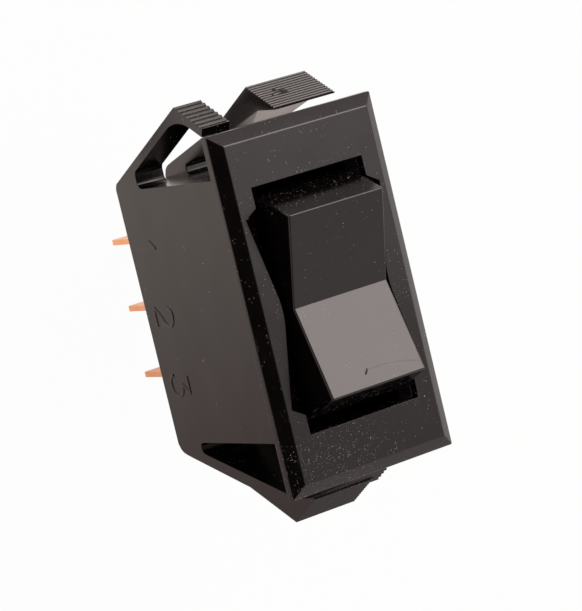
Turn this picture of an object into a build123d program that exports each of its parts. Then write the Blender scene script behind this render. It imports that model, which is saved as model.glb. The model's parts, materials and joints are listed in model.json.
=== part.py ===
import os
from math import atan2, cos, degrees, radians, sin

from build123d import *

# Panel rocker switch, single pole, two ways with a centre position.
# Millimetres. The origin is the centre of the bezel's back plane, where the
# panel's face lies. +Z leaves the panel through the face, +Y is the rocker's
# long way and +X its width.

# Bezel: a flat plate with a bevelled border.
bezel_length = 50.0
bezel_width = 27.2
rim_thickness = 1.1
bezel_thickness = 2.25
bevel_inset = 1.75

# Bow-tie recess in the bezel's face.
recess_depth = 1.35
recess_end_width = 18.3
recess_ear_width = 22.2
recess_ear_y = 13.0
recess_shoulder = 1.2
recess_waist_width = 17.2
recess_waist_radius = 12.0

# Body sleeve behind the bezel.
body_length = 36.8
body_width = 18.4
body_depth = 32.7
side_wall = 1.2
end_wall = 1.4

# Pocket at the back of the sleeve, where the terminal base seats on a ledge.
base_thickness = 5.7
pocket_step = 0.3
catch_groove_depth = 0.5
catch_groove_height = 1.2
catch_groove_rise = 1.4

# Snap arms: one wide and one narrow at each end, turned half round end to end.
wide_arm_width = 10.0
narrow_arm_width = 4.65
arm_foot_height = 6.1
arm_root_round = 0.42
ramp_angle = 60.5
ramp_length = 6.9
ridge_catch_share = 0.32
ramp_skin = 0.1
wide_ridge_pitch = 0.58
wide_ridge_depth = 0.17
wide_foot_reach = 1.35
wide_foot_radius = 1.9
wide_leaf_thickness = 1.65
wide_tip_reach = 11.1
wide_tip_drop = 6.5
wide_kink_reach = 6.3
wide_kink_drop = 16.2
wide_head_lip = 4.3
wide_lip_lean = 0.2
narrow_ridge_pitch = 0.98
narrow_ridge_depth = 0.22
narrow_foot_reach = 0.85
narrow_foot_radius = 1.0
narrow_leaf_thickness = 1.37
narrow_tip_reach = 10.65
narrow_tip_drop = 12.3
narrow_lip_thickness = 1.3
narrow_crook_radius = 6.5

# Rocker and its pivot.
pivot_depth = 3.0
stud_radius = 1.92
stud_clearance = 0.08
stud_end_clearance = 0.1
rocker_width = 15.6
rocker_half_length = 12.6
rocker_valley_height = 3.35
rocker_face_angle = 18.5
rocker_end_flare = 24.0
rocker_end_height = 5.9
rocker_skirt_drop = 3.7
rocker_skirt_lean = 10.0
rocker_keel_depth = 6.6
rocker_keel_half_length = 4.6
rocker_wall = 1.4
rocker_edge_radius = 0.25
stem_radius = 3.3
stem_reach = 9.4

# Plunger and spring in the rocker's stem.
plunger_radius = 1.85
plunger_clearance = 0.1
plunger_reach = 14.0
plunger_shoulder_depth = 6.5
spigot_radius = 0.85
spigot_height = 2.0
bore_top_height = 3.0
spring_wire = 0.45
spring_radius = 1.35
spring_turns = 6
spring_wire_sides = 6
spring_clearance = 0.05

# Contact lever, a see-saw on the common terminal's edge.
lever_clearance = 0.1
lever_thickness = 0.8
lever_half_length = 9.5
lever_width = 6.0
lever_rise_angle = 7.0
lever_notch_depth = 1.05
lever_notch_width = 1.3
lever_swing = 4.8

# Contact rivets.
contact_y = 7.9
contact_radius = 1.5
contact_thickness = 0.7
shank_radius = 0.8
shank_clearance = 0.02
rivet_tail_radius = 1.1
rivet_tail_height = 0.3
contact_gap_closed = 0.12

# Blade terminals.
blade_width = 6.35
blade_thickness = 0.8
blade_pitch = 10.0
blade_tip_depth = 48.3
blade_tip_taper = 0.4
blade_hole_radius = 0.85
blade_hole_rise = 4.0
blade_bend_radius = 0.5
shoulder_width = 8.4
shoulder_height = 1.6
shelf_inner_y = 6.2
ear_width = 1.1
ear_height = 1.5
edge_clearance = 0.05

# Terminal base.
base_clearance = 0.05
slot_clearance = 0.05
platform_width = 10.0
platform_length = 29.0
platform_height = 3.5
platform_corner_radius = 2.0
barrier_thickness = 1.2
barrier_height = 5.4
catch_width = 8.0
catch_clearance = 0.1

# Places that several pieces share.
body_half = body_length / 2
inner_width = body_width - 2 * side_wall
inner_length = body_length - 2 * end_wall
base_top = -body_depth + base_thickness
pocket_width = inner_width + 2 * pocket_step
pocket_length = inner_length + 2 * pocket_step
plunger_tip = -pivot_depth - plunger_reach
lever_top = plunger_tip - lever_clearance
lever_edge = lever_top - lever_thickness
lever_arm_angle = radians(lever_rise_angle)
closed_slope = radians(lever_rise_angle - lever_swing)
pivot_edge_radius = blade_thickness / 2
closed_contact_z = (
    lever_edge
    + contact_y * sin(closed_slope) / cos(lever_arm_angle)
    - contact_thickness
)
fixed_contact_top = closed_contact_z - contact_gap_closed
shelf_top = fixed_contact_top - contact_thickness

os.makedirs("parts", exist_ok=True)


def end_plane(side, offset):
    """A lengthways plane whose first axis points out of the body's top or bottom end."""
    return Plane(origin=(side * offset, 0, 0), x_dir=(0, side, 0), z_dir=(side, 0, 0))


def ramp_points(tip_y, tip_z, ridge_pitch, ridge_depth):
    """The ridged ramp of a snap arm, from its tip up to its free end. Each ridge's
    steep face looks towards the panel."""
    run = cos(radians(ramp_angle))
    rise = sin(radians(ramp_angle))
    ridges = round(ramp_length / ridge_pitch)
    step = ramp_length / ridges
    points = [(tip_y, tip_z)]
    for ridge in range(ridges):
        valley = (ridge + ridge_catch_share) * step
        valley_y = tip_y - run * valley - rise * ridge_depth
        valley_z = tip_z + rise * valley - run * ridge_depth
        crest = (ridge + 1) * step
        points.append((valley_y, valley_z))
        points.append((tip_y - run * crest, tip_z + rise * crest))
    return points


def behind_ramp(point, depth):
    """The place a depth behind the ramp's surface at a point on its crests."""
    y, z = point
    return y - depth * sin(radians(ramp_angle)), z - depth * cos(radians(ramp_angle))


def root_points(floor_y, root_radius):
    """The floor of the gap between an arm and the sleeve, ending inside the end wall."""
    floor_z = -body_depth + arm_foot_height
    root_y = body_half - end_wall / 2
    return [
        (floor_y, floor_z),
        (body_half, floor_z),
        (body_half, floor_z + 2 * root_radius),
        (root_y, floor_z + 2 * root_radius),
        (root_y, -body_depth),
    ]


def wide_arm(side):
    """A thin leaf that kinks into a wedge-shaped head with a ridged ramp."""
    foot = (body_half + wide_foot_reach, -body_depth)
    kink = (body_half + wide_kink_reach, -wide_kink_drop)
    tip_y = body_half + wide_tip_reach
    ramp = ramp_points(tip_y, -wide_tip_drop, wide_ridge_pitch, wide_ridge_depth)
    end_y, end_z = behind_ramp(ramp[-1], wide_ridge_depth + ramp_skin)
    leaf_slope = (kink[0] - foot[0]) / (kink[1] - foot[1])
    floor_y = foot[0] + leaf_slope * arm_foot_height - wide_leaf_thickness
    root_radius = arm_root_round * (floor_y - body_half)
    root = root_points(floor_y, root_radius)
    with BuildSketch(end_plane(side, body_width / 2 - wide_arm_width)) as profile:
        with BuildLine():
            Polyline(
                foot,
                kink,
                *ramp,
                (end_y, end_z),
                (end_y + wide_lip_lean, end_z - wide_head_lip),
                *root,
                close=True,
            )
        make_face()
        fillet(vertices().sort_by_distance(foot)[0], wide_foot_radius)
        fillet(vertices().sort_by_distance(root[0])[0], root_radius)
        fillet(vertices().sort_by_distance(root[1])[0], root_radius)
    return extrude(profile.sketch, amount=wide_arm_width, mode=Mode.PRIVATE)


def narrow_arm(side):
    """A straight leaf that folds back as a hook with a ridged ramp."""
    run = cos(radians(ramp_angle))
    rise = sin(radians(ramp_angle))
    foot = (body_half + narrow_foot_reach, -body_depth)
    tip = (body_half + narrow_tip_reach, -narrow_tip_drop)
    ramp = ramp_points(*tip, narrow_ridge_pitch, narrow_ridge_depth)
    lip_y, lip_z = behind_ramp(ramp[-1], narrow_lip_thickness)
    leaf_slope = (tip[0] - foot[0]) / (tip[1] - foot[1])
    floor_y = foot[0] + leaf_slope * arm_foot_height - narrow_leaf_thickness
    root_radius = arm_root_round * (floor_y - body_half)
    root = root_points(floor_y, root_radius)
    lip_to_leaf = floor_y + leaf_slope * (lip_z - root[0][1]) - lip_y
    hook_length = lip_to_leaf / (run + leaf_slope * rise)
    crook = (lip_y + run * hook_length, lip_z - rise * hook_length)
    with BuildSketch(end_plane(side, -body_width / 2)) as profile:
        with BuildLine():
            Polyline(
                foot,
                *ramp,
                (lip_y, lip_z),
                crook,
                *root,
                close=True,
            )
        make_face()
        fillet(vertices().sort_by_distance(foot)[0], narrow_foot_radius)
        fillet(vertices().sort_by_distance(root[0])[0], root_radius)
        fillet(vertices().sort_by_distance(root[1])[0], root_radius)
        fillet(vertices().sort_by_distance(crook)[0], narrow_crook_radius)
    return extrude(profile.sketch, amount=narrow_arm_width, mode=Mode.PRIVATE)


# Bezel and housing: bezel plate, body sleeve and four snap arms, moulded in one.
with BuildPart() as bezel_housing:
    with BuildSketch():
        Rectangle(bezel_width, bezel_length)
    extrude(amount=rim_thickness)
    bevel_height = bezel_thickness - rim_thickness
    with BuildSketch(Plane.XY.offset(rim_thickness)):
        Rectangle(bezel_width, bezel_length)
    extrude(amount=bevel_height, taper=degrees(atan2(bevel_inset, bevel_height)))
    with BuildSketch(Plane.XY.offset(-body_depth)):
        Rectangle(body_width, body_length)
    extrude(amount=body_depth)
    for side in (1, -1):
        add(wide_arm(side))
        add(narrow_arm(side))

    # The bow-tie recess, wider beside the rocker's two ends than at its waist.
    with BuildSketch(Plane.XY.offset(bezel_thickness - recess_depth)):
        with BuildLine():
            Polyline(
                (0, 0),
                (0, inner_length / 2),
                (recess_end_width / 2, inner_length / 2),
                (recess_end_width / 2, recess_ear_y + recess_shoulder),
                (recess_ear_width / 2, recess_ear_y),
                (recess_waist_width / 2, 0),
                close=True,
            )
        make_face()
        mirror(about=Plane.XZ)
        mirror(about=Plane.YZ)
        waist = vertices().filter_by_position(Axis.Y, -0.01, 0.01)
        fillet(waist, recess_waist_radius)
    extrude(amount=recess_depth, mode=Mode.SUBTRACT)

    # The sleeve's bore, and the stepped pocket with its catch groove at the back.
    with BuildSketch(Plane.XY.offset(-body_depth)):
        Rectangle(inner_width, inner_length)
    extrude(amount=body_depth + bezel_thickness, mode=Mode.SUBTRACT)
    with BuildSketch(Plane.XY.offset(-body_depth)):
        Rectangle(pocket_width, pocket_length)
    extrude(amount=base_thickness, mode=Mode.SUBTRACT)
    with BuildSketch(Plane.XY.offset(-body_depth + catch_groove_rise)):
        Rectangle(catch_width + 2 * catch_clearance, pocket_length + 2 * catch_groove_depth)
    extrude(amount=catch_groove_height, mode=Mode.SUBTRACT)

    # The rocker's stud holes through both side walls.
    with BuildSketch(Plane.YZ.offset(-body_width / 2)):
        with Locations((0, -pivot_depth)):
            Circle(stud_radius + stud_clearance)
    extrude(amount=body_width, mode=Mode.SUBTRACT)
bezel_housing.part.label = "bezel_housing"
export_step(bezel_housing.part, "parts/bezel_housing.step")


# Rocker: a hollow paddle with a V-shaped face, two studs and a plunger stem.
face_slope = radians(rocker_face_angle)
end_lean = radians(rocker_end_flare)
skirt_lean = radians(rocker_skirt_lean)
paddle_top_z = rocker_valley_height + rocker_half_length * sin(face_slope) / cos(face_slope)
paddle_end_y = rocker_half_length + rocker_end_height * sin(end_lean)
paddle_end_z = paddle_top_z - rocker_end_height * cos(end_lean)
skirt_y = paddle_end_y + rocker_skirt_drop * sin(skirt_lean)
skirt_z = paddle_end_z - rocker_skirt_drop * cos(skirt_lean)
with BuildPart() as rocker:
    with BuildSketch(Plane.YZ.offset(-rocker_width / 2)):
        with BuildLine():
            Polyline(
                (0, rocker_valley_height),
                (rocker_half_length, paddle_top_z),
                (paddle_end_y, paddle_end_z),
                (skirt_y, skirt_z),
                (rocker_keel_half_length, -rocker_keel_depth),
                (0, -rocker_keel_depth),
                close=True,
            )
        make_face()
        mirror(about=Plane.YZ)
    extrude(amount=rocker_width)
    crown = edges().filter_by_position(Axis.Z, paddle_end_z, paddle_top_z + rocker_edge_radius)
    fillet(crown, rocker_edge_radius)

    # The hollow follows the paddle's outline one wall inside it and is open below.
    with BuildSketch(Plane.YZ.offset(rocker_wall - rocker_width / 2)):
        with BuildLine():
            Polyline(
                (0, rocker_valley_height),
                (rocker_half_length, paddle_top_z),
                (paddle_end_y, paddle_end_z),
                (skirt_y, skirt_z),
                (skirt_y, -2 * rocker_keel_depth),
                (0, -2 * rocker_keel_depth),
                close=True,
            )
        make_face()
        mirror(about=Plane.YZ)
        offset(amount=-rocker_wall, kind=Kind.INTERSECTION)
    extrude(amount=rocker_width - 2 * rocker_wall, mode=Mode.SUBTRACT)

    # Studs on the paddle's two sides.
    with BuildSketch(Plane.YZ.offset(rocker_width / 2 - rocker_wall)):
        with Locations((0, -pivot_depth)):
            Circle(stud_radius)
    stud_length = (body_width - rocker_width) / 2 - stud_end_clearance + rocker_wall
    extrude(amount=stud_length)
    mirror(about=Plane.YZ)

    # The stem that holds the spring and guides the plunger.
    with BuildSketch(Plane.XY.offset(-pivot_depth - stem_reach)):
        Circle(stem_radius)
    extrude(amount=pivot_depth + stem_reach + rocker_valley_height - rocker_wall / 2)
    with BuildSketch(Plane.XY.offset(-pivot_depth - stem_reach)):
        Circle(plunger_radius + plunger_clearance)
    extrude(amount=stem_reach + bore_top_height, mode=Mode.SUBTRACT)
rocker.part.label = "rocker"
export_step(rocker.part, "parts/rocker.step")


# Plunger: a round-nosed pin with a spigot that centres the spring.
plunger_shoulder = -pivot_depth - plunger_shoulder_depth
with BuildPart() as plunger:
    with BuildSketch(Plane.XZ):
        with BuildLine():
            Line((0, plunger_tip), (0, plunger_shoulder + spigot_height))
            Line((0, plunger_shoulder + spigot_height), (spigot_radius, plunger_shoulder + spigot_height))
            Line((spigot_radius, plunger_shoulder + spigot_height), (spigot_radius, plunger_shoulder))
            Line((spigot_radius, plunger_shoulder), (plunger_radius, plunger_shoulder))
            Line((plunger_radius, plunger_shoulder), (plunger_radius, plunger_tip + plunger_radius))
            RadiusArc(
                (plunger_radius, plunger_tip + plunger_radius),
                (0, plunger_tip),
                plunger_radius,
            )
        make_face()
    revolve(axis=Axis.Z)
plunger.part.label = "plunger"
export_step(plunger.part, "parts/plunger.step")


# Plunger spring: a coil between the bore's blind end and the plunger. The wire is
# many-sided rather than round, which keeps so small a coil light.
spring_foot = plunger_shoulder + spring_clearance + spring_wire / 2
spring_head = -pivot_depth + bore_top_height - spring_clearance - spring_wire / 2
spring_height = spring_head - spring_foot
with BuildPart() as plunger_spring:
    with BuildLine():
        coil = Helix(spring_height / spring_turns, spring_height, spring_radius, center=(0, 0, spring_foot))
    with BuildSketch(Plane(origin=coil @ 0, z_dir=coil % 0)):
        RegularPolygon(spring_wire / 2, spring_wire_sides)
    sweep(is_frenet=True)
plunger_spring.part.label = "plunger_spring"
export_step(plunger_spring.part, "parts/plunger_spring.step")


def rivet(label, plane, head_thickness, sheet_thickness):
    """A contact rivet: head on the plane's front, shank and tail behind it."""
    with BuildPart() as contact:
        with BuildSketch(plane):
            Circle(contact_radius)
        extrude(amount=head_thickness)
        with BuildSketch(plane):
            Circle(shank_radius)
        extrude(amount=-sheet_thickness)
        with BuildSketch(plane.offset(-sheet_thickness)):
            Circle(rivet_tail_radius)
        extrude(amount=-rivet_tail_height)
    contact.part.label = label
    export_step(contact.part, f"parts/{label}.step")


def lever_underside(side):
    """The underside plane of one lever arm, centred on its contact and facing down."""
    return Plane(
        origin=(0, side * contact_y, lever_edge + contact_y * lever_rise / lever_half_length),
        x_dir=(1, 0, 0),
        z_dir=(0, side * sin(lever_arm_angle), -cos(lever_arm_angle)),
    )


# Contact lever: a shallow V of copper strip with a half-round seat across its underside
# for the pivot edge, and notched where the terminal's ears hold it.
lever_rise = lever_half_length * sin(lever_arm_angle) / cos(lever_arm_angle)
lever_skin = lever_thickness / cos(lever_arm_angle)
with BuildPart() as contact_lever:
    with BuildSketch(Plane.YZ.offset(-lever_width / 2)):
        with BuildLine():
            Polyline(
                (0, lever_edge),
                (lever_half_length, lever_edge + lever_rise),
                (lever_half_length, lever_edge + lever_rise + lever_skin),
                (0, lever_edge + lever_skin),
                close=True,
            )
        make_face()
        mirror(about=Plane.YZ)
    extrude(amount=lever_width)
    with BuildSketch(Plane.XY.offset(lever_edge)):
        with Locations((lever_width / 2, 0), (-lever_width / 2, 0)):
            Rectangle(2 * lever_notch_depth, lever_notch_width)
    extrude(amount=lever_rise + lever_skin, mode=Mode.SUBTRACT)
    corners = edges().filter_by(Axis.Z).group_by(Axis.Y)
    fillet(corners[0] + corners[-1], lever_width / 4)
    with BuildSketch(Plane.YZ.offset(-lever_width / 2)):
        with Locations((0, lever_edge)):
            Circle(pivot_edge_radius + edge_clearance)
    extrude(amount=lever_width, mode=Mode.SUBTRACT)
    for side in (1, -1):
        with BuildSketch(lever_underside(side)):
            Circle(shank_radius + shank_clearance)
        extrude(amount=-2 * lever_thickness, mode=Mode.SUBTRACT)
contact_lever.part.label = "contact_lever"
export_step(contact_lever.part, "parts/contact_lever.step")

for side, label in ((1, "lever_contact_top"), (-1, "lever_contact_bottom")):
    rivet(label, lever_underside(side), contact_thickness, lever_thickness)
    shelf = Plane(origin=(0, side * contact_y, shelf_top))
    rivet(label.replace("lever", "fixed"), shelf, contact_thickness, blade_thickness)


def blade():
    """A straight terminal blade on the lengthways middle plane, centred on X."""
    half = blade_width / 2
    with BuildSketch(Plane.XZ) as outline:
        with BuildLine():
            Polyline(
                (-half, base_top),
                (-half, -blade_tip_depth + blade_tip_taper),
                (-half + blade_tip_taper, -blade_tip_depth),
                (half - blade_tip_taper, -blade_tip_depth),
                (half, -blade_tip_depth + blade_tip_taper),
                (half, base_top),
                close=True,
            )
        make_face()
        with Locations((0, -blade_tip_depth + blade_hole_rise)):
            Circle(blade_hole_radius, mode=Mode.SUBTRACT)
        with Locations((0, base_top + shoulder_height / 2)):
            Rectangle(shoulder_width, shoulder_height)
    return extrude(outline.sketch, amount=blade_thickness / 2, both=True, mode=Mode.PRIVATE)


# Outer terminals: a blade whose inner end bends inwards as the fixed contact's shelf.
for side, label in ((1, "terminal_top"), (-1, "terminal_bottom")):
    outer_y = blade_pitch + blade_thickness / 2
    with BuildPart() as terminal:
        with Locations((0, side * blade_pitch, 0)):
            add(blade())
        with BuildSketch(end_plane(side, 0)):
            with BuildLine():
                Polyline(
                    (outer_y - blade_thickness, base_top),
                    (outer_y, base_top),
                    (outer_y, shelf_top),
                    (shelf_inner_y, shelf_top),
                    (shelf_inner_y, shelf_top - blade_thickness),
                    (outer_y - blade_thickness, shelf_top - blade_thickness),
                    close=True,
                )
            make_face()
            inner_corner = (outer_y - blade_thickness, shelf_top - blade_thickness)
            fillet(vertices().sort_by_distance(inner_corner)[0], blade_bend_radius)
            outer_corner = (outer_y, shelf_top)
            fillet(vertices().sort_by_distance(outer_corner)[0], blade_bend_radius + blade_thickness)
        extrude(amount=blade_width / 2, both=True)
        with BuildSketch(Plane.XY.offset(shelf_top)):
            with Locations((0, side * contact_y)):
                Circle(shank_radius + shank_clearance)
        extrude(amount=-blade_thickness, mode=Mode.SUBTRACT)
    terminal.part.label = label
    export_step(terminal.part, f"parts/{label}.step")


# Common terminal: a blade whose rounded inner end is the lever's pivot edge between two ears.
neck_half = blade_width / 2 - ear_width
with BuildPart() as terminal_common:
    add(blade())
    with BuildSketch(Plane.XZ):
        with BuildLine():
            Polyline(
                (0, base_top),
                (blade_width / 2, base_top),
                (blade_width / 2, lever_edge + ear_height),
                (neck_half, lever_edge + ear_height),
                (neck_half, lever_edge),
                (0, lever_edge),
                close=True,
            )
        make_face()
        mirror(about=Plane.YZ)
    extrude(amount=blade_thickness / 2, both=True)
    with BuildSketch(Plane.YZ.offset(-neck_half)):
        with Locations((0, lever_edge)):
            Circle(pivot_edge_radius)
    extrude(amount=2 * neck_half)
terminal_common.part.label = "terminal_common"
export_step(terminal_common.part, "parts/terminal_common.step")


# Terminal base: a plug with a raised platform, blade slots, barriers and end catches.
base_end = pocket_length / 2 - base_clearance
catch_reach = catch_groove_depth + base_clearance - catch_clearance
catch_foot = -body_depth + catch_groove_rise + catch_clearance
catch_height = catch_groove_height - 2 * catch_clearance
with BuildPart() as terminal_base:
    with BuildSketch(Plane.XY.offset(-body_depth)):
        Rectangle(pocket_width - 2 * base_clearance, 2 * base_end)
    extrude(amount=base_thickness)
    with BuildSketch(Plane.XY.offset(-body_depth)):
        RectangleRounded(platform_width, platform_length, platform_corner_radius)
    extrude(amount=-platform_height)
    with BuildSketch(Plane.XY.offset(base_top)):
        with GridLocations(0, blade_pitch, 1, 2):
            Rectangle(inner_width - 2 * base_clearance, barrier_thickness)
    extrude(amount=barrier_height)
    for side in (1, -1):
        with BuildSketch(end_plane(side, 0)):
            with BuildLine():
                Polyline(
                    (base_end, catch_foot),
                    (base_end + catch_reach, catch_foot),
                    (base_end, catch_foot + catch_height),
                    close=True,
                )
            make_face()
        extrude(amount=catch_width / 2, both=True)
    with BuildSketch(Plane.XY.offset(base_top)):
        with GridLocations(0, blade_pitch, 1, 3):
            Rectangle(blade_width + 2 * slot_clearance, blade_thickness + 2 * slot_clearance)
    extrude(amount=-base_thickness - platform_height, mode=Mode.SUBTRACT)
terminal_base.part.label = "terminal_base"
export_step(terminal_base.part, "parts/terminal_base.step")
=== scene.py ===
import json
from math import cos, inf, pi, radians, sin

import bmesh
import bpy
from mathutils import Matrix, Vector


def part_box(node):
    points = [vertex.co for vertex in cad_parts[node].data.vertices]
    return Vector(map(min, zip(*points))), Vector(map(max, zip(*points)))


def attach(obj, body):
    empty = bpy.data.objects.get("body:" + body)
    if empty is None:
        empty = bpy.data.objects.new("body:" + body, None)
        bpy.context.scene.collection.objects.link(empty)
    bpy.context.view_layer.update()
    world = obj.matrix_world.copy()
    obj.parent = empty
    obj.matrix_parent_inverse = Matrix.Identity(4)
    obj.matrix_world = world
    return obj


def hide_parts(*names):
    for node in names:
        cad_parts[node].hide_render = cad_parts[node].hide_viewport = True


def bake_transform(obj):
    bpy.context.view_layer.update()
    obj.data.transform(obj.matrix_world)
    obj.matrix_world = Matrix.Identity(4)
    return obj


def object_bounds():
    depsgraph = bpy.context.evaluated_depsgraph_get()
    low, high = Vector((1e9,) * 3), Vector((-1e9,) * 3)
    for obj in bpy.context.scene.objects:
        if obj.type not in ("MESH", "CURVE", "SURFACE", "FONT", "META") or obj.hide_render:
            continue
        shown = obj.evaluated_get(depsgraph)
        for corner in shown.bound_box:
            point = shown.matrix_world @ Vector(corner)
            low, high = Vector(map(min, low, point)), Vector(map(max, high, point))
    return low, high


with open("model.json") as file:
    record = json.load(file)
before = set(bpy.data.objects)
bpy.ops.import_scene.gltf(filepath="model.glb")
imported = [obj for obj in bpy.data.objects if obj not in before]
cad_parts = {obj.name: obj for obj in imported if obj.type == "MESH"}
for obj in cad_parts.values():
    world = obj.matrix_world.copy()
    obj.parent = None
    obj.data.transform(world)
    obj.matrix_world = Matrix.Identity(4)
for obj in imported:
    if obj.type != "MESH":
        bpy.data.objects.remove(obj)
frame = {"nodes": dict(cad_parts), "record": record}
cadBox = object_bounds()
low, high = cadBox
centre = (low + high) / 2
mm = 0.001
bodyOf = {
    node: body
    for body, nodes in frame["record"]["behaviour"]["bodies"].items()
    for node in nodes
}
slotOf = {part["node"]: part["material_slot"] for part in frame["record"]["subparts"]}
mountAt = {mount["name"]: mount["pos_m"] for mount in frame["record"]["mounts"]}
print("frame loaded:", len(frame["nodes"]), "nodes")


def addObject(name, data):
    made = bpy.data.objects.new(name, data)
    bpy.context.scene.collection.objects.link(made)
    return made


def plainMesh(item):
    # what its modifiers make of it, as a mesh of its own
    graph = bpy.context.evaluated_depsgraph_get()
    return bpy.data.meshes.new_from_object(item.evaluated_get(graph))


# camera

cameraSetup = {
    "place": (-0.240616, 0.054384, 0.371437),
    "right": (0.8067, -0.2321, 0.5435),
    "up": (0.2614, 0.9649, 0.0241),
    "lens": 194.78,
    "nearest": 0.01,
    "farthest": 20,
}


def makeCamera(setup):
    right = Vector(setup["right"]).normalized()
    back = right.cross(Vector(setup["up"])).normalized()
    up = back.cross(right)
    data = bpy.data.cameras.new("switchCamera")
    data.lens = setup["lens"]
    data.clip_start = setup["nearest"]
    data.clip_end = setup["farthest"]
    camera = addObject("switchCamera", data)
    turn = Matrix((right, up, back)).transposed().to_4x4()
    camera.matrix_world = Matrix.Translation(setup["place"]) @ turn
    bpy.context.scene.camera = camera


makeCamera(cameraSetup)
bpy.context.scene.view_settings.view_transform = "Standard"
print("camera placed")


# node helpers

def addNode(tree, kind, inputs=None, **settings):
    made = tree.nodes.new(kind)
    for key, value in settings.items():
        setattr(made, key, value)
    for key, value in (inputs or {}).items():
        if isinstance(value, bpy.types.NodeSocket):
            tree.links.new(value, made.inputs[key])
        else:
            made.inputs[key].default_value = value
    return made


def calc(tree, operation, first, second=0.0, third=0.0):
    inputs = {0: first, 1: second, 2: third}
    return addNode(tree, "ShaderNodeMath", inputs, operation=operation).outputs[0]


def plus(tree, first, second):
    return calc(tree, "ADD", first, second)


def minus(tree, first, second):
    return calc(tree, "SUBTRACT", first, second)


def times(tree, first, second):
    return calc(tree, "MULTIPLY", first, second)


def most(tree, first, second):
    return calc(tree, "MAXIMUM", first, second)


def layered(tree, base, layers):
    # each layer is a mask and how much it adds where the mask is one
    for mask, share in layers:
        base = calc(tree, "MULTIPLY_ADD", mask, share, base)
    return base


def ramp(tree, value, start, end, first=0.0, last=1.0):
    inputs = {0: value, 1: start, 2: end, 3: first, 4: last}
    made = addNode(tree, "ShaderNodeMapRange", inputs, interpolation_type="SMOOTHSTEP")
    return made.outputs[0]


def blendColor(tree, factor, first, second):
    inputs = {0: factor, 6: first, 7: second}
    return addNode(tree, "ShaderNodeMix", inputs, data_type="RGBA").outputs[2]


def noise(tree, place, scale, detail=2.0, roughness=0.5):
    inputs = {"Vector": place, "Scale": scale, "Detail": detail, "Roughness": roughness}
    return addNode(tree, "ShaderNodeTexNoise", inputs).outputs[0]


def stretched(tree, place, scale, turn=(0.0, 0.0, 0.0), shift=(0.0, 0.0, 0.0)):
    inputs = {"Vector": place, "Location": shift, "Rotation": turn, "Scale": scale}
    return addNode(tree, "ShaderNodeMapping", inputs).outputs[0]


def distance(tree, axes, x, y):
    dx = calc(tree, "POWER", minus(tree, axes[0], x), 2.0)
    dy = calc(tree, "POWER", minus(tree, axes[1], y), 2.0)
    return calc(tree, "SQRT", plus(tree, dx, dy))


def spot(tree, axes, x, y, radius):
    # one at (x, y), falling softly to nothing at the radius
    return ramp(tree, distance(tree, axes, x, y), radius, 0.0)


def within(tree, value, middle, half):
    away = calc(tree, "ABSOLUTE", minus(tree, value, middle))
    return calc(tree, "LESS_THAN", away, half)


def newGroup(name, inputs, outputs):
    # an input without a value is a place, the others are numbers
    group = bpy.data.node_groups.new(name, "ShaderNodeTree")
    for socket, value in inputs.items():
        kind = "NodeSocketVector" if value is None else "NodeSocketFloat"
        made = group.interface.new_socket(socket, in_out="INPUT", socket_type=kind)
        if value is not None:
            made.default_value = value
    for socket in outputs:
        group.interface.new_socket(socket, in_out="OUTPUT", socket_type="NodeSocketFloat")
    entry = group.nodes.new("NodeGroupInput")
    leaving = group.nodes.new("NodeGroupOutput")
    return group, entry.outputs, leaving.inputs


def useGroup(tree, group, inputs):
    return addNode(tree, "ShaderNodeGroup", inputs, node_tree=group).outputs


# shared effects, all in millimetres; a noise is its scale, detail and roughness

dustForm = {
    "mostlySmall": 2.5,
    "smallest": 0.25,
    "curlNoise": (0.55, 1.0),
    "curlMiddle": 0.5,
    "fibreHalf": 0.0035,
    "fibreShift": (31.0, 7.0, 13.0),
    "fibreNoise": (0.8, 0.0),
    "fibreCut": 0.86,
    "lintReach": 0.3,
}


def makeDustGroup(form):
    # round specks of mixed sizes, and short curled fibres
    group, given, out = newGroup(
        "dustAndLint",
        {"Place": None, "Cells": 1.0, "Amount": 0.2, "Speck": 0.09, "Lint": 0.2},
        ["Mask"],
    )
    inputs = {"Vector": given["Place"], "Scale": given["Cells"]}
    cells = addNode(group, "ShaderNodeTexVoronoi", inputs)
    split = addNode(group, "ShaderNodeSeparateColor", {0: cells.outputs["Color"]})
    chosen = calc(group, "LESS_THAN", split.outputs[0], given["Amount"])
    share = calc(group, "POWER", split.outputs[1], form["mostlySmall"])
    size = times(group, plus(group, share, form["smallest"]), given["Speck"])
    inside = calc(group, "LESS_THAN", cells.outputs["Distance"], size)
    specks = times(group, chosen, inside)
    curl = noise(group, given["Place"], *form["curlNoise"])
    line = within(group, curl, form["curlMiddle"], form["fibreHalf"])
    shifted = stretched(group, given["Place"], (1.0, 1.0, 1.0), shift=form["fibreShift"])
    where = noise(group, shifted, *form["fibreNoise"])
    cut = minus(group, form["fibreCut"], times(group, given["Lint"], form["lintReach"]))
    fibres = times(group, line, calc(group, "GREATER_THAN", where, cut))
    group.links.new(most(group, specks, fibres), out["Mask"])
    return group


skinForm = {
    "fineNoise": (3.0, 0.6),
    "fineHeight": 0.02,
    "sinkDetail": 1.0,
    "cloudNoise": (0.35, 4.0, 0.65),
}


def makeGrainGroup(form):
    # moulded skin: a slow sink, a fine grain and a cloudy sheen
    group, given, out = newGroup(
        "mouldedSkin",
        {"Place": None, "Fine": 9.0, "Sink": 0.12},
        ["Height", "Cloud"],
    )
    fine = noise(group, given["Place"], given["Fine"], *form["fineNoise"])
    slow = noise(group, given["Place"], given["Sink"], form["sinkDetail"])
    height = layered(group, slow, [(fine, form["fineHeight"])])
    group.links.new(height, out["Height"])
    group.links.new(noise(group, given["Place"], *form["cloudNoise"]), out["Cloud"])
    return group


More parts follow.
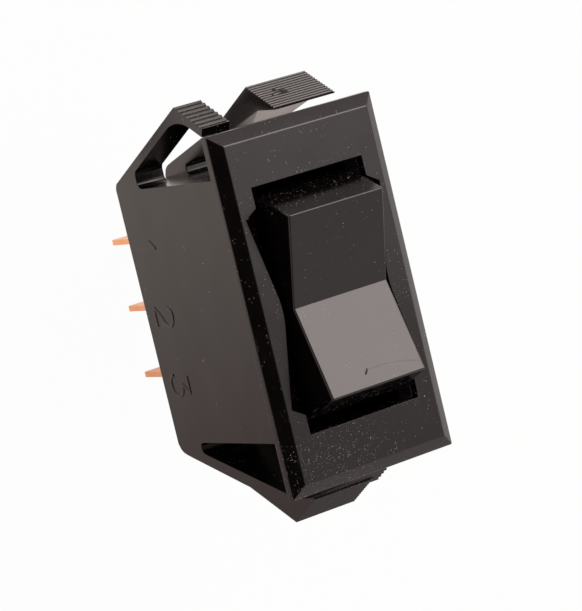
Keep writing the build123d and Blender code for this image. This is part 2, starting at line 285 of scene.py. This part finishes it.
scratchForm = {
    "directions": [((0.3, 0.2, 0.5), (2.0, 0.0, 5.0)), ((0.1, 0.5, -0.9), (9.0, 4.0, 1.0))],
    "hairStretch": (0.12, 5.0, 2.0),
    "breakStretch": (0.3, 0.3, 0.3),
    "noise": (1.0, 1.0),
    "fewest": 0.8,
    "reach": 0.2,
    "softness": 0.03,
    "breakRamp": (0.5, 0.6),
}


def makeScratchGroup(form):
    # hairline handling marks in two directions, broken into short lengths
    group, given, out = newGroup("hairScratches", {"Place": None, "Amount": 0.3}, ["Mask"])
    place = given["Place"]
    limit = minus(group, form["fewest"], times(group, given["Amount"], form["reach"]))
    total = 0.0
    for turn, shift in form["directions"]:
        along = stretched(group, place, form["hairStretch"], turn, shift)
        broken = stretched(group, place, form["breakStretch"], turn, shift)
        hair = noise(group, along, *form["noise"])
        line = ramp(group, hair, limit, plus(group, limit, form["softness"]))
        breaks = ramp(group, noise(group, broken, *form["noise"]), *form["breakRamp"])
        total = most(group, total, times(group, line, breaks))
    group.links.new(total, out["Mask"])
    return group


rubForm = {"noise": (1.6, 3.0, 0.7), "least": 0.75, "reach": 0.4, "softness": 0.12}


def makeRubGroup(form):
    # rubbed arrises: the rounded edge faces carry a value of one in "arris"
    group, given, out = newGroup("rubbedEdge", {"Place": None, "Amount": 0.5}, ["Mask"])
    arris = addNode(group, "ShaderNodeAttribute", attribute_name="arris").outputs["Fac"]
    patch = noise(group, given["Place"], *form["noise"])
    limit = minus(group, form["least"], times(group, given["Amount"], form["reach"]))
    worn = ramp(group, patch, limit, plus(group, limit, form["softness"]))
    group.links.new(times(group, arris, worn), out["Mask"])
    return group


dustGroup = makeDustGroup(dustForm)
grainGroup = makeGrainGroup(skinForm)
scratchGroup = makeScratchGroup(scratchForm)
rubGroup = makeRubGroup(rubForm)
print("shared effects built")


# materials

def newMaterial(name, tone):
    material = bpy.data.materials.new(name)
    material.use_nodes = True
    material.diffuse_color = tone
    tree = material.node_tree
    metres = tree.nodes.new("ShaderNodeTexCoord").outputs["Object"]
    inputs = {0: metres, 1: (1 / mm, 1 / mm, 1 / mm)}
    place = addNode(tree, "ShaderNodeVectorMath", inputs, operation="MULTIPLY").outputs[0]
    return material, tree, tree.nodes["Principled BSDF"], place


def coatShader(tree, shader, tone, rough, height, look):
    inputs = {"Strength": look["bump"], "Distance": look["bumpDepth"] * mm, "Height": height}
    relief = addNode(tree, "ShaderNodeBump", inputs).outputs[0]
    tree.links.new(tone, shader.inputs["Base Color"])
    tree.links.new(rough, shader.inputs["Roughness"])
    tree.links.new(relief, shader.inputs["Normal"])


def blackPlastic(name, look, marks, gathers):
    # marks: scratches and pits of this piece; gathers: where its dust lies thickest
    material, tree, shader, place = newMaterial(name, look["tone"])
    axes = addNode(tree, "ShaderNodeSeparateXYZ", {0: place}).outputs
    inputs = {"Place": place, "Fine": look["grainFine"], "Sink": look["sink"]}
    skin = useGroup(tree, grainGroup, inputs)
    rub = useGroup(tree, rubGroup, {"Place": place, "Amount": look["rub"]})["Mask"]
    hairs = useGroup(tree, scratchGroup, {"Place": place, "Amount": look["hairs"]})["Mask"]
    scored, pitted = marks(tree, place, axes)
    hairs = most(tree, hairs, scored)

    cluster = gathers(tree, axes)
    patches = ramp(tree, noise(tree, place, *look["patchNoise"]), *look["patchRamp"])
    thick = layered(tree, patches, [(cluster, look["gather"])])
    amount = times(tree, thick, look["dust"])
    lint = layered(tree, look["lint"], [(cluster, look["lintGather"])])
    dust = 0.0
    for cells, speck, linted in look["specks"]:
        inputs = {"Place": place, "Cells": cells, "Amount": amount, "Speck": speck}
        inputs["Lint"] = lint if linted else 0.0
        dust = most(tree, dust, useGroup(tree, dustGroup, inputs)["Mask"])

    cloud = ramp(tree, skin["Cloud"], *look["cloudRamp"])
    tone = blendColor(tree, cloud, look["tone"], look["warm"])
    for mask in (rub, hairs):
        tone = blendColor(tree, times(tree, mask, look["wornShow"]), tone, look["worn"])
    tone = blendColor(tree, dust, tone, look["dustTone"])
    tone = blendColor(tree, pitted, tone, look["tone"])

    flow = noise(tree, stretched(tree, place, look["flowStretch"]), *look["flowNoise"])
    smudge = ramp(tree, noise(tree, place, *look["smudgeNoise"]), *look["smudgeRamp"])
    rough = layered(tree, look["rough"] - look["roughSpread"] / 2, [
        (skin["Cloud"], look["roughSpread"]),
        (flow, look["flow"]),
        (smudge, look["smudge"]),
        (hairs, look["hairsRough"]),
        (rub, look["rubRough"]),
        (pitted, look["pitRough"]),
    ])
    rough = most(tree, rough, times(tree, dust, look["dustRough"]))
    height = layered(tree, skin["Height"], [
        (hairs, look["hairsHeight"]),
        (dust, look["dustHeight"]),
        (pitted, look["pitHeight"]),
    ])
    coatShader(tree, shader, tone, rough, height, look)
    shader.inputs["IOR"].default_value = look["ior"]
    return material


def metal(name, look):
    material, tree, shader, place = newMaterial(name, look["tone"])
    drawn = noise(tree, stretched(tree, place, look["drawn"]), *look["drawnNoise"])
    cloud = ramp(tree, noise(tree, place, *look["cloudNoise"]), *look["cloudRamp"])
    hairs = useGroup(tree, scratchGroup, {"Place": place, "Amount": look["hairs"]})["Mask"]
    tone = blendColor(tree, cloud, look["tone"], look["tarnish"])
    rough = layered(tree, look["rough"] - look["roughSpread"] / 2, [
        (drawn, look["roughSpread"]),
        (hairs, look["hairsRough"]),
    ])
    coatShader(tree, shader, tone, rough, minus(tree, drawn, hairs), look)
    shader.inputs["Metallic"].default_value = 1.0
    return material


def paleAcetal(name, look):
    material, tree, shader, place = newMaterial(name, look["tone"])
    inputs = {"Place": place, "Fine": look["grainFine"], "Sink": look["sink"]}
    skin = useGroup(tree, grainGroup, inputs)
    tone = blendColor(tree, skin["Cloud"], look["tone"], look["warm"])
    rough = ramp(tree, skin["Cloud"], *look["roughRamp"])
    coatShader(tree, shader, tone, rough, skin["Height"], look)
    return material


housingLook = {
    "tone": (0.0024, 0.0021, 0.0020, 1.0),
    "warm": (0.0046, 0.0030, 0.0026, 1.0),
    "cloudRamp": (0.35, 0.65),
    "worn": (0.06, 0.055, 0.052, 1.0),
    "wornShow": 0.5,
    "dustTone": (0.66, 0.64, 0.62, 1.0),
    "ior": 1.58,
    # roughness, and what each mark adds to it
    "rough": 0.19,
    "roughSpread": 0.06,
    "flow": 0.03,
    "flowStretch": (1.6, 0.1, 0.1),
    "flowNoise": (1.0, 3.0, 0.6),
    "smudge": 0.06,
    "smudgeNoise": (0.42, 5.0, 0.7),
    "smudgeRamp": (0.6, 0.7),
    "hairsRough": 0.15,
    "rubRough": 0.08,
    "pitRough": 0.5,
    "dustRough": 0.9,
    # relief
    "grainFine": 8.0,
    "sink": 0.12,
    "bump": 0.12,
    "bumpDepth": 1.0,
    "hairsHeight": -0.012,
    "dustHeight": 0.03,
    "pitHeight": -0.1,
    # wear and dust; a speck layer is cells per millimetre, speck size and whether it has lint
    "rub": 0.35,
    "hairs": 0.2,
    "dust": 0.09,
    "gather": 6.0,
    "patchNoise": (0.3, 3.0, 0.6),
    "patchRamp": (0.4, 0.65, 0.35, 1.5),
    "specks": [(0.7, 0.045, True), (1.9, 0.09, False), (3.3, 0.14, False), (5.6, 0.20, False)],
    "lint": 0.2,
    "lintGather": 0.2,
}
rockerLook = {
    **housingLook,
    "rough": 0.15,
    "roughSpread": 0.05,
    "hairs": 0.35,
    "dust": 0.05,
    "rub": 0.25,
    "lint": 0.1,
}
baseLook = {
    **housingLook,
    "rough": 0.42,
    "roughSpread": 0.12,
    "bump": 0.3,
    "hairs": 0.1,
    "dust": 0.04,
}
copperLook = {
    "tone": (0.98, 0.50, 0.26, 1.0),
    "tarnish": (0.94, 0.43, 0.21, 1.0),
    "cloudNoise": (0.5, 3.0, 0.6),
    "cloudRamp": (0.4, 0.68),
    "rough": 0.24,
    "roughSpread": 0.2,
    "hairs": 0.4,
    "hairsRough": 0.15,
    "drawn": (0.6, 6.0, 0.6),
    "drawnNoise": (1.0, 3.0, 0.6),
    "bump": 0.5,
    "bumpDepth": 0.02,
}
stripLook = {
    **copperLook,
    "tone": (0.86, 0.50, 0.28, 1.0),
    "tarnish": (0.66, 0.34, 0.18, 1.0),
    "drawn": (5.0, 0.4, 0.6),
}
silverLook = {
    **copperLook,
    "tone": (0.88, 0.86, 0.82, 1.0),
    "tarnish": (0.62, 0.58, 0.52, 1.0),
    "drawn": (3.0, 3.0, 3.0),
}
steelLook = {
    **copperLook,
    "tone": (0.60, 0.60, 0.60, 1.0),
    "tarnish": (0.42, 0.41, 0.40, 1.0),
    "drawn": (4.0, 4.0, 0.8),
}
acetalLook = {
    "tone": (0.82, 0.80, 0.74, 1.0),
    "warm": (0.76, 0.73, 0.65, 1.0),
    "roughRamp": (0.2, 0.8, 0.32, 0.5),
    "grainFine": 6.0,
    "sink": 0.3,
    "bump": 0.2,
    "bumpDepth": 0.1,
}


# marks and dust of the paddle: x and y places, and a spot is its place and radius

paddleMarks = {
    "arcCentre": (0.6, -32.3),
    "arcRadius": 22.0,
    "arcFrom": -0.7,
    "arcLine": 0.08,
    "tornNoise": (2.2, 3.0, 0.7),
    "tornRamp": (0.3, 0.55, 0.35, 1.0),
    "nick": (-1.2, -10.5),
    "nickSize": (0.17, 0.36),
    "nickLean": 0.9,
    "nickRagged": 0.6,
}
paddleDust = {"ends": (12.4, 14.5), "besidePit": (1.0, -12.0, 2.5), "pitShare": 0.6}


def scoredPaddle(tree, place, axes):
    # one long curved scratch across the lower half, and the pit that it starts from
    x, y, z = axes
    torn = noise(tree, place, *paddleMarks["tornNoise"])
    reach = distance(tree, axes, *paddleMarks["arcCentre"])
    arc = within(tree, reach, paddleMarks["arcRadius"], paddleMarks["arcLine"])
    arc = times(tree, arc, calc(tree, "GREATER_THAN", x, paddleMarks["arcFrom"]))
    arc = times(tree, arc, calc(tree, "GREATER_THAN", y, paddleMarks["arcCentre"][1]))
    arc = times(tree, arc, ramp(tree, torn, *paddleMarks["tornRamp"]))
    (nickX, nickY), (halfX, halfY) = paddleMarks["nick"], paddleMarks["nickSize"]
    lean = times(tree, minus(tree, y, nickY), paddleMarks["nickLean"])
    ragged = times(tree, minus(tree, torn, 0.5), paddleMarks["nickRagged"])
    across = minus(tree, plus(tree, x, ragged), lean)
    nick = times(tree, within(tree, across, nickX, halfX), within(tree, y, nickY, halfY))
    top = calc(tree, "GREATER_THAN", z, 0.0)
    return times(tree, arc, top), times(tree, nick, top)


def dustyPaddle(tree, axes):
    # along both ends, and a little beside the pit
    ends = ramp(tree, calc(tree, "ABSOLUTE", axes[1]), *paddleDust["ends"])
    beside = spot(tree, axes, *paddleDust["besidePit"])
    return most(tree, ends, times(tree, beside, paddleDust["pitShare"]))


# the same for the housing

housingMarks = {
    "backBeyond": 13.2,
    "backHalf": 0.3,
    "patchStretch": (1.0, 0.5, 1.0),
    "patchNoise": (1.0, 4.0, 0.7),
    "backRamp": (0.38, 0.55),
    "scuff": (2.8, 27.9),
    "scuffSize": (0.9, 0.45),
    "scuffRamp": (0.42, 0.48),
    "dot": (1.2, 27.7),
    "dotSize": (0.16, 0.16),
    "rampHeight": (-4.0, 1.1),
}
housingDust = {
    "openingHalf": (9.1, 17.0),
    "nearRamp": (1.6, 0.0, 0.0, 0.45),
    "belowRampY": (-15.5, -19.0),
    "belowRampX": (7.0, -4.0),
    "besideWaist": (10.0, -2.5, 3.2),
    "upperSide": (10.5, 13.0, 3.0),
    "upperShare": 0.7,
    "heightRamp": (-4.0, -1.0),
}


def scoredHousing(tree, place, axes):
    # scuffed back edge of the bezel, and a nick in the ridges of the wide top arm
    x, y, z = axes
    patch = stretched(tree, place, housingMarks["patchStretch"])
    patch = noise(tree, patch, *housingMarks["patchNoise"])
    wide = calc(tree, "GREATER_THAN", calc(tree, "ABSOLUTE", x), housingMarks["backBeyond"])
    back = times(tree, wide, within(tree, z, 0.0, housingMarks["backHalf"]))
    back = times(tree, back, ramp(tree, patch, *housingMarks["backRamp"]))
    scuff, dot = [
        times(tree, within(tree, x, midX, halfX), within(tree, y, midY, halfY))
        for (midX, midY), (halfX, halfY) in (
            (housingMarks["scuff"], housingMarks["scuffSize"]),
            (housingMarks["dot"], housingMarks["dotSize"]),
        )
    ]
    scuff = times(tree, scuff, ramp(tree, patch, *housingMarks["scuffRamp"]))
    onRidges = within(tree, z, *housingMarks["rampHeight"])
    return back, times(tree, most(tree, scuff, dot), onRidges)


def dustyHousing(tree, axes):
    # round the opening, below it on one side, and beside the rocker's waist; none far down
    x, y, z = axes
    halfX, halfY = housingDust["openingHalf"]
    outX = minus(tree, calc(tree, "ABSOLUTE", x), halfX)
    outY = minus(tree, calc(tree, "ABSOLUTE", y), halfY)
    rim = calc(tree, "ABSOLUTE", most(tree, outX, outY))
    near = ramp(tree, rim, *housingDust["nearRamp"])
    below = ramp(tree, y, *housingDust["belowRampY"])
    below = times(tree, below, ramp(tree, x, *housingDust["belowRampX"]))
    waist = spot(tree, axes, *housingDust["besideWaist"])
    upper = spot(tree, axes, *housingDust["upperSide"])
    cluster = most(tree, most(tree, near, below), waist)
    cluster = most(tree, cluster, times(tree, upper, housingDust["upperShare"]))
    return times(tree, cluster, ramp(tree, z, *housingDust["heightRamp"]))


def unmarked(tree, place, axes):
    return 0.0, 0.0


def evenDust(tree, axes):
    return 0.0


materials = {
    "bezel_housing": blackPlastic("blackNylonHousing", housingLook, scoredHousing, dustyHousing),
    "rocker": blackPlastic("blackNylonRocker", rockerLook, scoredPaddle, dustyPaddle),
    "terminal_base": blackPlastic("blackThermoset", baseLook, unmarked, evenDust),
    "terminals": metal("bareCopper", copperLook),
    "contact_lever": metal("copperStrip", stripLook),
    "contacts": metal("silverContact", silverLook),
    "plunger_spring": metal("springSteel", steelLook),
    "plunger": paleAcetal("naturalAcetal", acetalLook),
}
print("materials built:", len(materials))


# finished shells: a merged copy of a node with its sharp edges rounded

shellStyle = {
    "weld": 0.002,
    "flatWithin": 1.0,
    "roundFrom": 28.0,
    "crispFrom": 15.0,
    "segments": 2,
    "roomPerRadius": 2.2,
    "sideTurn": (35.0, 145.0),
}
ledge = {"halfWidth": 8.0, "height": 0.9, "drop": 1.5, "slack": 0.02}

# each round is a region and its radius; x and y are distances from the middle planes,
# z is the height, and the first region that holds an edge's middle counts
housingRounds = [
    ({"x": (-inf, 11.2), "y": (-inf, 17.1), "z": (2.0, inf)}, 0.06),  # the opening's rim
    ({"z": (0.05, inf)}, 0.14),  # the rest of the bezel
    ({"y": (24.0, inf), "z": (-inf, -0.5)}, 0.05),  # heads of the arms
    ({"y": (18.0, 18.8), "z": (-inf, -20.0)}, 0.0),  # where an arm's root meets the back
    ({}, 0.09),
]
paddleRounds = [({}, 0.1)]
baseRounds = [({}, 0.12)]
bladeRounds = [({"z": (-18.2, inf)}, 0.0), ({}, 0.07)]  # only what stands out of the base


def mergedCopy(node, name):
    mesh = frame["nodes"][node].data.copy()
    mesh.name = name
    mesh.materials.clear()
    mesh.materials.append(materials[slotOf[node]])
    shape = bmesh.new()
    shape.from_mesh(mesh)
    bmesh.ops.remove_doubles(shape, verts=shape.verts, dist=shellStyle["weld"] * mm)
    flat = radians(shellStyle["flatWithin"])
    bmesh.ops.dissolve_limit(shape, angle_limit=flat, verts=shape.verts, edges=shape.edges)
    return mesh, shape


def slopeLedge(shape):
    # the narrow ledge inside the opening gets a steep draft
    for vert in shape.verts:
        offSide = abs(abs(vert.co.x / mm) - ledge["halfWidth"])
        offTop = abs(vert.co.z / mm - ledge["height"])
        if max(offSide, offTop) < ledge["slack"]:
            vert.co.z -= ledge["drop"] * mm


def sharpEdges(shape, least):
    return [
        edge
        for edge in shape.edges
        if len(edge.link_faces) == 2 and edge.calc_face_angle(0) > radians(least)
    ]


def firstRound(edge, rounds):
    middle = (edge.verts[0].co + edge.verts[1].co) / 2 / mm
    size = {"x": abs(middle.x), "y": abs(middle.y), "z": middle.z}
    for index, (region, _) in enumerate(rounds):
        if all(least < size[axis] < greatest for axis, (least, greatest) in region.items()):
            return index


def hasRoom(edge, radius):
    # no short edge turns off it at either end, which the round would run past
    least, greatest = shellStyle["sideTurn"]
    for corner in edge.verts:
        away = edge.other_vert(corner).co - corner.co
        for side in corner.link_edges:
            if side is edge or side.calc_length() > shellStyle["roomPerRadius"] * radius * mm:
                continue
            turn = away.angle(side.other_vert(corner).co - corner.co, 0)
            if radians(least) < turn < radians(greatest):
                return False
    return True


def roundEdges(shape, rounds, arris):
    for index, (_, radius) in enumerate(rounds):
        chosen = [
            edge
            for edge in sharpEdges(shape, shellStyle["roundFrom"])
            if firstRound(edge, rounds) == index
            and not any(face[arris] for face in edge.link_faces)
            and hasRoom(edge, radius)
        ]
        if not chosen or not radius:
            continue
        made = bmesh.ops.bevel(
            shape,
            geom=chosen,
            offset=radius * mm,
            offset_type="OFFSET",
            segments=shellStyle["segments"],
            profile=0.5,
            affect="EDGES",
            clamp_overlap=False,
            miter_outer="SHARP",
        )
        for face in made["faces"]:
            face[arris] = 1.0


def shadeShell(shape, arris):
    # what stayed unrounded keeps a crisp edge, and no shading runs past its ends
    for face in shape.faces:
        face.smooth = True
    corners = {
        corner
        for edge in sharpEdges(shape, shellStyle["roundFrom"])
        if not any(face[arris] for face in edge.link_faces)
        for corner in edge.verts
    }
    for edge in sharpEdges(shape, shellStyle["crispFrom"]):
        if corners.intersection(edge.verts):
            edge.smooth = False


def finishShell(node, name, rounds, prepare=None):
    mesh, shape = mergedCopy(node, name)
    if prepare:
        prepare(shape)
    arris = shape.faces.layers.float.new("arris")
    roundEdges(shape, rounds, arris)
    shadeShell(shape, arris)
    shape.to_mesh(mesh)
    shape.free()
    piece = addObject(name, mesh)
    even = piece.modifiers.new("evenNormals", "WEIGHTED_NORMAL")
    even.keep_sharp = True
    plain = plainMesh(piece)
    piece.modifiers.clear()
    piece.data = plain
    plain.name = name
    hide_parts(node)
    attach(piece, bodyOf[node])
    return piece


housing = finishShell("bezel_housing", "snapInHousing", housingRounds, slopeLedge)
finishShell("rocker", "rockerPaddle", paddleRounds)
finishShell("terminal_base", "terminalBase", baseRounds)
for node in ("terminal_top", "terminal_common", "terminal_bottom"):
    finishShell(node, node.replace("terminal_", "blade"), bladeRounds)
for node, item in frame["nodes"].items():
    if not item.hide_render:
        item.data.materials.clear()
        item.data.materials.append(materials[slotOf[node]])
print("shells finished")


# moulded terminal numbers on the housing's side wall

numberStyle = {
    "rows": {"1": "blade_top", "2": "blade_common", "3": "blade_bottom"},
    "height": 4.4,
    "middle": 28.1,
    "along": 0.1,
    "strokeWidth": 0.52,
    "proud": 0.13,
    "ragged": 0.03,
    "step": 0.12,
    "seed": 4,
    "ring": 16,
    "resolution": 6,
}
# strokes as shares of the height: across from the middle, and up from the foot
digitStrokes = {
    "1": [("POLY", [(-0.19, 0.70), (0.05, 1.0), (0.05, 0.0)])],
    "2": [
        ("NURBS", [
            (-0.30, 0.70), (-0.27, 1.02), (0.12, 1.06), (0.37, 0.86),
            (0.27, 0.50), (-0.05, 0.32), (-0.31, 0.0),
        ]),
        ("POLY", [(-0.31, 0.0), (0.34, 0.0)]),
    ],
    "3": [
        ("POLY", [(-0.29, 1.0), (0.29, 1.0), (-0.02, 0.60)]),
        ("NURBS", [
            (-0.02, 0.60), (0.22, 0.64), (0.42, 0.36), (0.30, 0.02),
            (-0.02, -0.06), (-0.26, 0.02), (-0.32, 0.20),
        ]),
    ],
}


def strokeTree(ringPoints):
    # a path becomes a round bead with slightly uneven width
    tree = bpy.data.node_groups.new("mouldedStroke", "GeometryNodeTree")
    sockets = {}
    for name, kind in (
        ("Geometry", "NodeSocketGeometry"),
        ("Width", "NodeSocketFloat"),
        ("Ragged", "NodeSocketFloat"),
        ("Step", "NodeSocketFloat"),
        ("Seed", "NodeSocketInt"),
        ("Material", "NodeSocketMaterial"),
    ):
        made = tree.interface.new_socket(name, in_out="INPUT", socket_type=kind)
        sockets[name] = made.identifier
    tree.interface.new_socket("Geometry", in_out="OUTPUT", socket_type="NodeSocketGeometry")
    given = tree.nodes.new("NodeGroupInput").outputs
    inputs = {"Curve": given["Geometry"], "Length": given["Step"]}
    even = addNode(tree, "GeometryNodeResampleCurve", inputs, mode="LENGTH")
    inputs = {"Seed": given["Seed"]}
    wobble = addNode(tree, "FunctionNodeRandomValue", inputs, data_type="FLOAT")
    spread = times(tree, minus(tree, wobble.outputs[1], 0.5), given["Ragged"])
    radius = times(tree, given["Width"], plus(tree, spread, 0.5))  # half the width
    inputs = {"Resolution": ringPoints, "Radius": 1.0}
    ring = addNode(tree, "GeometryNodeCurvePrimitiveCircle", inputs)
    inputs = {
        "Curve": even.outputs[0],
        "Profile Curve": ring.outputs[0],
        "Scale": radius,
        "Fill Caps": True,
    }
    bead = addNode(tree, "GeometryNodeCurveToMesh", inputs)
    soft = addNode(tree, "GeometryNodeSetShadeSmooth", {"Geometry": bead.outputs[0]})
    whole = addNode(tree, "GeometryNodeRealizeInstances", {"Geometry": soft.outputs[0]})
    inputs = {"Geometry": whole.outputs[0], "Material": given["Material"]}
    coated = addNode(tree, "GeometryNodeSetMaterial", inputs)
    leaving = tree.nodes.new("NodeGroupOutput")
    tree.links.new(coated.outputs[0], leaving.inputs[0])
    return tree, sockets


beadTree, beadSockets = strokeTree(numberStyle["ring"])


def sweptMesh(path, finish, width, step, ragged=0.0, seed=0):
    modifier = path.modifiers.new("stroke", "NODES")
    modifier.node_group = beadTree
    values = {
        "Width": width * mm,
        "Ragged": ragged,
        "Step": step * mm,
        "Seed": seed,
        "Material": materials[finish],
    }
    for name, value in values.items():
        modifier[beadSockets[name]] = value
    mesh = plainMesh(path)
    bpy.data.objects.remove(path)
    return mesh


def newPath(name):
    curve = bpy.data.curves.new(name, "CURVE")
    curve.dimensions = "3D"
    return curve


def digitCurve(digit, style):
    curve = newPath("digit" + digit)
    height = style["height"] * mm
    for kind, points in digitStrokes[digit]:
        spline = curve.splines.new(kind)
        spline.points.add(len(points) - 1)
        for point, (across, up) in zip(spline.points, points):
            point.co = (across * height, (up - 0.5) * height, 0.0, 1.0)
        if kind == "NURBS":
            spline.order_u = 3
            spline.use_endpoint_u = True
            spline.resolution_u = style["resolution"]
    return curve


def mouldNumbers(style, wallSide):
    for digit, mount in style["rows"].items():
        along = mountAt[mount][1] + style["along"] * mm
        aim = Vector((low.x - 10 * mm, along, -style["middle"] * mm))
        wall = wallSide.ray_cast(aim, Vector((1, 0, 0)))[1]
        path = addObject("digit" + digit, digitCurve(digit, style))
        mesh = sweptMesh(
            path,
            "bezel_housing",
            style["strokeWidth"],
            style["step"],
            style["ragged"],
            style["seed"],
        )
        flatten = Matrix.Diagonal((1, 1, 2 * style["proud"] / style["strokeWidth"], 1))
        turn = Matrix(((0, 0, -1), (-1, 0, 0), (0, 1, 0))).to_4x4()
        mesh.transform(Matrix.Translation(wall) @ turn @ flatten)
        piece = addObject("terminalNumber" + digit, mesh)
        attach(piece, "housing")


mouldNumbers(numberStyle, housing)
print("terminal numbers moulded")


# the coil between the rocker and its plunger, wound by the same tree

springShape = {"turns": 6, "wire": 0.45, "step": 0.3, "points": 240}


def windSpring(shape):
    bottom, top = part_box("plunger_spring")
    half = shape["wire"] * mm / 2
    reach = (top.x - bottom.x) / 2 - half
    foot = bottom.z + half
    rise = top.z - bottom.z - 2 * half
    curve = newPath("springPath")
    spline = curve.splines.new("POLY")
    spline.points.add(shape["points"])
    for index, point in enumerate(spline.points):
        share = index / shape["points"]
        turn = 2 * pi * shape["turns"] * share
        point.co = (reach * cos(turn), reach * sin(turn), foot + rise * share, 1.0)
    path = addObject("springPath", curve)
    mesh = sweptMesh(path, "plunger_spring", shape["wire"], shape["step"])
    spring = addObject("coilSpring", mesh)
    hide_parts("plunger_spring")
    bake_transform(spring)


windSpring(springShape)
print("spring wound")


# floor, surroundings and lamps

floorSetup = {
    "half": 3.0,
    "gap": 0.02,
    "tone": (0.86, 0.85, 0.84, 1.0),
    "rough": 0.8,
    "shadow": 0.03,
    # what the object's gloss sees of it, painted: warm, painted shade dimming it far along -Y,
    # greyer far along +X, and painted shade spots, each with its x, y, radius and depth
    "near": (1.0, 0.87, 0.805, 1.0),
    "far": (0.45, 0.345, 0.33, 1.0),
    "farRamp": (-0.045, 0.025, 1.0, 0.0),
    "grey": (0.86, 0.80, 0.785, 1.0),
    "greyRamp": (0.03, 0.12),
    "shades": [((0.030, -0.0205, 0.038), 0.96), ((-0.0257, 0.0248, 0.0075), 0.75)],
}
black = (0.0, 0.0, 0.0, 1.0)
white = (1.0, 1.0, 1.0, 1.0)


def seenBy(tree, path, rays):
    seen = 0.0
    for ray in rays:
        seen = most(tree, seen, path.outputs[ray])
    return seen


def makeFloor(setup):
    half = setup["half"]
    level = low.z - setup["gap"] * mm
    corners = [(x * half, y * half, level) for x, y in ((-1, -1), (1, -1), (1, 1), (-1, 1))]
    mesh = bpy.data.meshes.new("paleFloor")
    mesh.from_pydata(corners, [], [(0, 1, 2, 3)])
    floor = addObject("paleFloor", mesh)
    material = bpy.data.materials.new("paleFloor")
    material.use_nodes = True
    tree = material.node_tree
    shader = tree.nodes["Principled BSDF"]
    shader.inputs["Base Color"].default_value = setup["tone"]
    shader.inputs["Roughness"].default_value = setup["rough"]
    path = tree.nodes.new("ShaderNodeLightPath")
    place = tree.nodes.new("ShaderNodeTexCoord").outputs["Object"]
    axes = addNode(tree, "ShaderNodeSeparateXYZ", {0: place}).outputs
    # the floor's colour in reflections, with painted shade: dimmer along -Y, greyer along +X
    far = ramp(tree, axes[1], *setup["farRamp"])
    paperAndPaintedShade = blendColor(tree, far, setup["near"], setup["far"])
    paperAndPaintedShade = blendColor(tree, ramp(tree, axes[0], *setup["greyRamp"]), paperAndPaintedShade, setup["grey"])
    # painted shade spots on the floor, seen only in the object's gloss
    for where, depth in setup["shades"]:
        paperAndPaintedShade = blendColor(tree, times(tree, spot(tree, axes, *where), depth), paperAndPaintedShade, black)
    paperAndPaintedShade = blendColor(tree, path.outputs["Is Glossy Ray"], white, paperAndPaintedShade)
    glow = addNode(tree, "ShaderNodeEmission", {"Color": paperAndPaintedShade, "Strength": 1.0})
    seen = seenBy(tree, path, ("Is Camera Ray", "Is Glossy Ray", "Is Transmission Ray"))
    share = times(tree, seen, 1 - setup["shadow"])
    inputs = {0: share, 1: shader.outputs[0], 2: glow.outputs[0]}
    mix = addNode(tree, "ShaderNodeMixShader", inputs)
    tree.links.new(mix.outputs[0], tree.nodes["Material Output"].inputs["Surface"])
    mesh.materials.append(material)


worldSetup = {
    "warmth": (1.0, 0.88, 0.855, 1.0),
    "darkSide": (-0.55, -0.08, 0.83),
    "sideRamp": (0.70, 0.96, 0.90, 0.01),
    "overheadRamp": (0.6, 0.86, 1.0, 0.70),
    "lowRamp": (-0.7, 0.1, 0.80, 1.0),
    "flatRampY": (0.35, 0.65),
    "flatRampZ": (0.35, 0.05),
    "flatDepth": 0.80,
}


def makeWorld(setup):
    # soft light from all round: dark towards one side, dimmer overhead, along -Y, and low
    # down along +Y
    world = bpy.data.worlds.new("studioWorld")
    world.use_nodes = True
    bpy.context.scene.world = world
    tree = world.node_tree
    tree.nodes.clear()
    toward = tree.nodes.new("ShaderNodeTexCoord").outputs["Generated"]
    inputs = {0: toward, 1: Vector(setup["darkSide"]).normalized()}
    facing = addNode(tree, "ShaderNodeVectorMath", inputs, operation="DOT_PRODUCT")
    axes = addNode(tree, "ShaderNodeSeparateXYZ", {0: toward}).outputs
    flat = ramp(tree, axes[1], *setup["flatRampY"])
    flat = times(tree, flat, ramp(tree, axes[2], *setup["flatRampZ"]))
    level = ramp(tree, facing.outputs["Value"], *setup["sideRamp"])
    level = times(tree, level, ramp(tree, axes[2], *setup["overheadRamp"]))
    level = times(tree, level, ramp(tree, axes[1], *setup["lowRamp"]))
    level = times(tree, level, minus(tree, 1.0, times(tree, flat, setup["flatDepth"])))
    inputs = {"Color": setup["warmth"], "Strength": level}
    studioLight = addNode(tree, "ShaderNodeBackground", inputs)
    plain = addNode(tree, "ShaderNodeBackground", {"Color": white, "Strength": 1.0})
    path = tree.nodes.new("ShaderNodeLightPath")
    seen = seenBy(tree, path, ("Is Camera Ray", "Is Transmission Ray"))
    inputs = {0: seen, 1: studioLight.outputs[0], 2: plain.outputs[0]}
    mix = addNode(tree, "ShaderNodeMixShader", inputs)
    output = tree.nodes.new("ShaderNodeOutputWorld")
    tree.links.new(mix.outputs[0], output.inputs["Surface"])


lamps = {
    "keySoftbox": {
        "toward": (0.505, 0.455, 0.735),
        "distance": 0.6,
        "size": (0.31, 0.30),
        "level": 4.2,
        "tint": (1.0, 0.88, 0.85),
    },
    "topBank": {
        "toward": (0.53, 0.03, 0.85),
        "distance": 0.6,
        "size": (0.16, 0.16),
        "level": 0.8,
        "tint": (1.0, 0.93, 0.91),
    },
}


def makeLamps(setup):
    for name, lamp in setup.items():
        toward = Vector(lamp["toward"]).normalized()
        data = bpy.data.lights.new(name, "AREA")
        data.shape = "RECTANGLE"
        data.size, data.size_y = lamp["size"]
        data.color = lamp["tint"]
        data.energy = lamp["level"] * pi * data.size * data.size_y
        light = addObject(name, data)
        turn = toward.to_track_quat("Z", "Y").to_matrix().to_4x4()
        light.matrix_world = Matrix.Translation(centre + toward * lamp["distance"]) @ turn


makeFloor(floorSetup)
makeWorld(worldSetup)
makeLamps(lamps)
print("studio lit")
